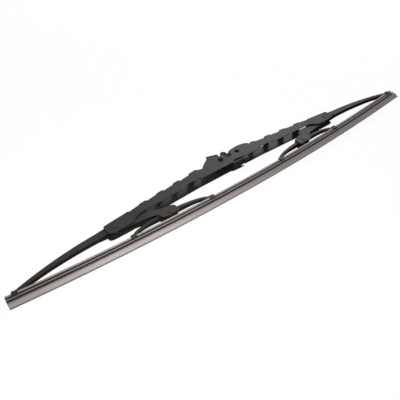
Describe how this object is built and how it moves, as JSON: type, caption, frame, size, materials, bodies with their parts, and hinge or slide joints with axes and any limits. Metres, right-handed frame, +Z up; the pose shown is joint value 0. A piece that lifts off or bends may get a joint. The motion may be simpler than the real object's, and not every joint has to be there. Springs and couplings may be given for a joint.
{
  "type": "wiper blade",
  "caption": "Framed wiper blade: vented steel bridge, hinged levers and claw yokes gripping a bowed rubber element, with an arm adapter between raised cheeks.",
  "frame": {"origin": "middle of the bounding box's base: mid length, mid height of the blade, on the floor it lies on", "axes": "+X along the blade to the end whose cheek holds the arm-pin hole, +Y from the wiping edge to the bridge's roof, +Z up through the blade's thickness, as it lies on its side"},
  "size_m": [0.508, 0.0614, 0.0123],
  "materials": {
    "frame_steel": "satin black powder coat",
    "rivet_steel": "black phosphated steel",
    "strip_steel": "rolled spring steel",
    "nylon": "moulded black nylon",
    "adapter_plastic": "moulded black plastic",
    "rubber": "graphited rubber, dry and slightly greyed"
  },
  "bodies": {
    "bridge": {"bridge": "frame_steel", "hook_rivet": "rivet_steel", "left_lever_rivet": "rivet_steel", "right_lever_rivet": "rivet_steel"},
    "rubber": {"squeegee": "rubber", "near_strip": "strip_steel", "far_strip": "strip_steel"},
    "left_lever": {"left_lever": "frame_steel", "left_lever_bush": "nylon", "left_yoke_rivet": "rivet_steel"},
    "right_lever": {"right_lever": "frame_steel", "right_lever_bush": "nylon", "right_yoke_rivet": "rivet_steel"},
    "left_yoke": {"left_claw_yoke": "frame_steel", "left_yoke_bush": "nylon"},
    "right_yoke": {"right_claw_yoke": "frame_steel", "right_yoke_bush": "nylon"},
    "adapter": {"adapter": "adapter_plastic"}
  },
  "joints": [
    {"name": "right_lever_flex", "type": "hinge", "parent": "bridge", "child": "right_lever", "pos_m": [0.142, 0.00466, 0.00615], "axis": [0, 0, -1], "range_deg": [-0.5, 6], "deforming": ["squeegee", "near_strip", "far_strip"]},
    {"name": "left_lever_flex", "type": "hinge", "parent": "bridge", "child": "left_lever", "pos_m": [-0.142, 0.00466, 0.00615], "axis": [0, 0, 1], "range_deg": [-0.5, 6], "deforming": ["squeegee", "near_strip", "far_strip"]},
    {"name": "right_yoke_flex", "type": "hinge", "parent": "right_lever", "child": "right_yoke", "pos_m": [0.09128, -0.00998, 0.00615], "axis": [0, 0, -1], "range_deg": [-2.7, 0.3], "deforming": ["squeegee", "near_strip", "far_strip"]},
    {"name": "left_yoke_flex", "type": "hinge", "parent": "left_lever", "child": "left_yoke", "pos_m": [-0.09128, -0.00998, 0.00615], "axis": [0, 0, 1], "range_deg": [-2.7, 0.3], "deforming": ["squeegee", "near_strip", "far_strip"]},
    {"name": "adapter_tilt", "type": "hinge", "parent": "bridge", "child": "adapter", "pos_m": [-0.0048, 0.0177, 0.00615], "axis": [0, 0, 1], "range_deg": [-12, 12]},
    {"name": "rubber_rise", "type": "slide", "parent": "bridge", "child": "rubber", "axis": [0, 1, 0], "range_m": [-0.0008, 0.0087], "deforming": ["squeegee", "near_strip", "far_strip"]}
  ],
  "couplings": [
    {"joint": "left_lever_flex", "follows": "right_lever_flex", "ratio": 1},
    {"joint": "right_yoke_flex", "follows": "right_lever_flex", "ratio": -0.434},
    {"joint": "left_yoke_flex", "follows": "right_lever_flex", "ratio": -0.434},
    {"joint": "rubber_rise", "follows": "right_lever_flex", "m_per_rad": 0.08238}
  ]
}
